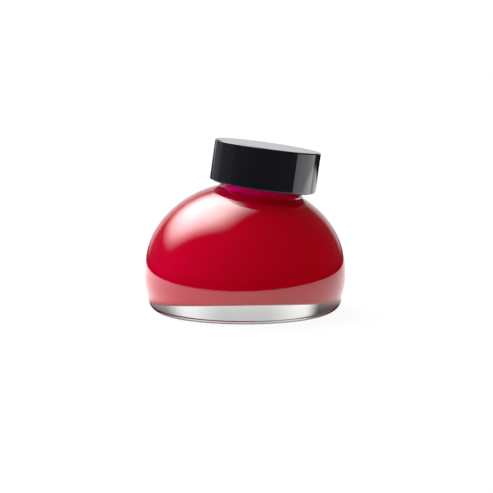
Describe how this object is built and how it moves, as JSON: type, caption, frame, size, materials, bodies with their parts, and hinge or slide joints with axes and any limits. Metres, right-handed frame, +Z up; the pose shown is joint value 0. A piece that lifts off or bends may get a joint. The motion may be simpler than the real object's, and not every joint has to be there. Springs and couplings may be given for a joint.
{
  "type": "ink bottle",
  "caption": "Low domed glass ink bottle with a thick clear base, red ink up to a leaning neck, and a glossy black screw cap with an inner threaded insert and a sealing disc.",
  "frame": {"origin": "the middle of the face that the bottle stands on, which is the bottom centre of the whole object's box", "axes": "+Z is up, the neck and the cap lean towards +X by 8 degrees, and -Y is the front"},
  "size_m": [0.065, 0.065, 0.055],
  "materials": {
    "clear_glass": "polished",
    "red_ink": "gloss",
    "black_gloss": "gloss",
    "black_matte": "satin",
    "white_foam": "matte"
  },
  "bodies": {
    "bottle": {"bottle": "clear_glass", "ink": "red_ink"},
    "seal": {"seal_liner": "white_foam"},
    "cap": {"cap_shell": "black_gloss", "cap_insert": "black_matte"}
  },
  "joints": [
    {"name": "cap_lift", "type": "slide", "parent": "bottle", "child": "seal", "axis": [0.1392, 0, 0.9903], "range_m": [0, 0.0107]},
    {"name": "cap_turn", "type": "hinge", "parent": "seal", "child": "cap", "pos_m": [0.00558, 0, 0.03973], "axis": [0.1392, 0, 0.9903], "range_deg": [0, 900]}
  ],
  "couplings": [
    {"joint": "cap_lift", "follows": "cap_turn", "m_per_rad": 0.00067376}
  ]
}
